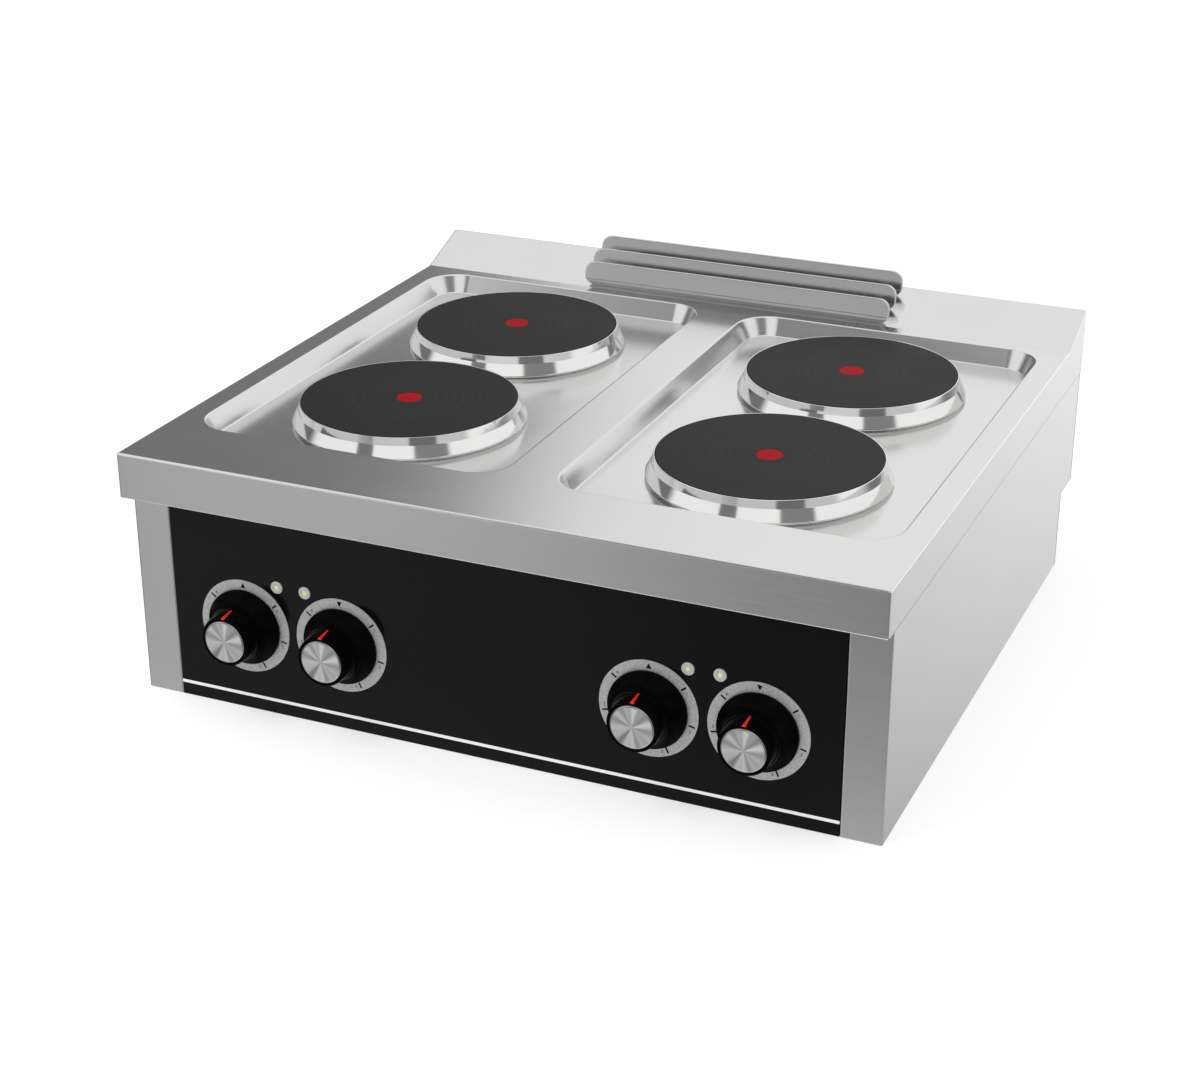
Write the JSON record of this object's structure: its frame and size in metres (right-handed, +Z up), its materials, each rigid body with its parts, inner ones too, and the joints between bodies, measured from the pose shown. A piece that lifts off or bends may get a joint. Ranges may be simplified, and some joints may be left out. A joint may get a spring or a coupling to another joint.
{
  "type": "hot plate burner",
  "caption": "Counter-top electric hob: round sealed cast-iron hot plates in pressed steel pans, front rotary switches with pilot lamps, and a rear louvre.",
  "frame": {"origin": "on the underside, at the centre of the rectangle that the worktop covers", "axes": "+X to the right along the width, +Y to the back, +Z up; the knobs are on the -Y side"},
  "size_m": [0.8, 0.7706, 0.3188],
  "materials": {
    "brushed_stainless": "satin, brushed along X",
    "polished_stainless": "polished",
    "plain_steel": "mill finish",
    "black_enamel_panel": "gloss black",
    "white_line": "satin white",
    "cast_iron": "matte, fine turned grooves",
    "red_marker": "satin red",
    "dial_silver": "satin, printed scale",
    "knob_black": "gloss black",
    "cap_aluminium": "spun, radial sheen",
    "shaft_steel": "turned",
    "switch_plastic": "matte thermoset",
    "lamp_bezel": "gloss",
    "lamp_lens": "clear yellow-green",
    "steatite": "matte",
    "gland_plastic": "matte",
    "zinc_plated": "zinc plated",
    "wire_sleeve": "matte"
  },
  "bodies": {
    "case": {"worktop": "brushed_stainless", "side_panel_left": "brushed_stainless", "side_panel_right": "brushed_stainless", "louvre_slat_front": "brushed_stainless", "louvre_slat_middle": "brushed_stainless", "louvre_slat_rear": "brushed_stainless", "louvre_spacers": "brushed_stainless", "back_panel": "plain_steel", "base_tray": "plain_steel", "centre_rail": "plain_steel", "front_rail": "plain_steel", "heat_shield": "plain_steel", "foot_nuts": "zinc_plated", "case_screws": "zinc_plated", "earth_stud": "zinc_plated", "control_panel": "black_enamel_panel", "panel_trim_line": "white_line", "pilot_lamp_bezels": "lamp_bezel", "pilot_lamp_lenses": "lamp_lens", "terminal_block": "switch_plastic", "cable_gland": "gland_plastic", "wiring_loom": "wire_sleeve", "plate_markers": "red_marker", "plate_terminals": "steatite", "hotplate_1": "cast_iron", "spill_rim_1": "polished_stainless", "under_cover_1": "plain_steel", "plate_clamp_1": "zinc_plated", "dial_ring_1": "dial_silver", "switch_body_1": "switch_plastic", "hotplate_2": "cast_iron", "spill_rim_2": "polished_stainless", "under_cover_2": "plain_steel", "plate_clamp_2": "zinc_plated", "dial_ring_2": "dial_silver", "switch_body_2": "switch_plastic", "hotplate_3": "cast_iron", "spill_rim_3": "polished_stainless", "under_cover_3": "plain_steel", "plate_clamp_3": "zinc_plated", "dial_ring_3": "dial_silver", "switch_body_3": "switch_plastic", "hotplate_4": "cast_iron", "spill_rim_4": "polished_stainless", "under_cover_4": "plain_steel", "plate_clamp_4": "zinc_plated", "dial_ring_4": "dial_silver", "switch_body_4": "switch_plastic"},
    "control_1": {"knob_1": "knob_black", "knob_cap_1": "cap_aluminium", "switch_shaft_1": "shaft_steel"},
    "control_2": {"knob_2": "knob_black", "knob_cap_2": "cap_aluminium", "switch_shaft_2": "shaft_steel"},
    "control_3": {"knob_3": "knob_black", "knob_cap_3": "cap_aluminium", "switch_shaft_3": "shaft_steel"},
    "control_4": {"knob_4": "knob_black", "knob_cap_4": "cap_aluminium", "switch_shaft_4": "shaft_steel"}
  },
  "joints": [
    {"name": "knob_1_turn", "type": "hinge", "parent": "case", "child": "control_1", "pos_m": [-0.2753, -0.375, 0.094], "axis": [0, -1, 0], "continuous": true},
    {"name": "knob_2_turn", "type": "hinge", "parent": "case", "child": "control_2", "pos_m": [-0.1651, -0.375, 0.094], "axis": [0, -1, 0], "continuous": true},
    {"name": "knob_3_turn", "type": "hinge", "parent": "case", "child": "control_3", "pos_m": [0.1651, -0.375, 0.094], "axis": [0, -1, 0], "continuous": true},
    {"name": "knob_4_turn", "type": "hinge", "parent": "case", "child": "control_4", "pos_m": [0.2753, -0.375, 0.094], "axis": [0, -1, 0], "continuous": true}
  ]
}
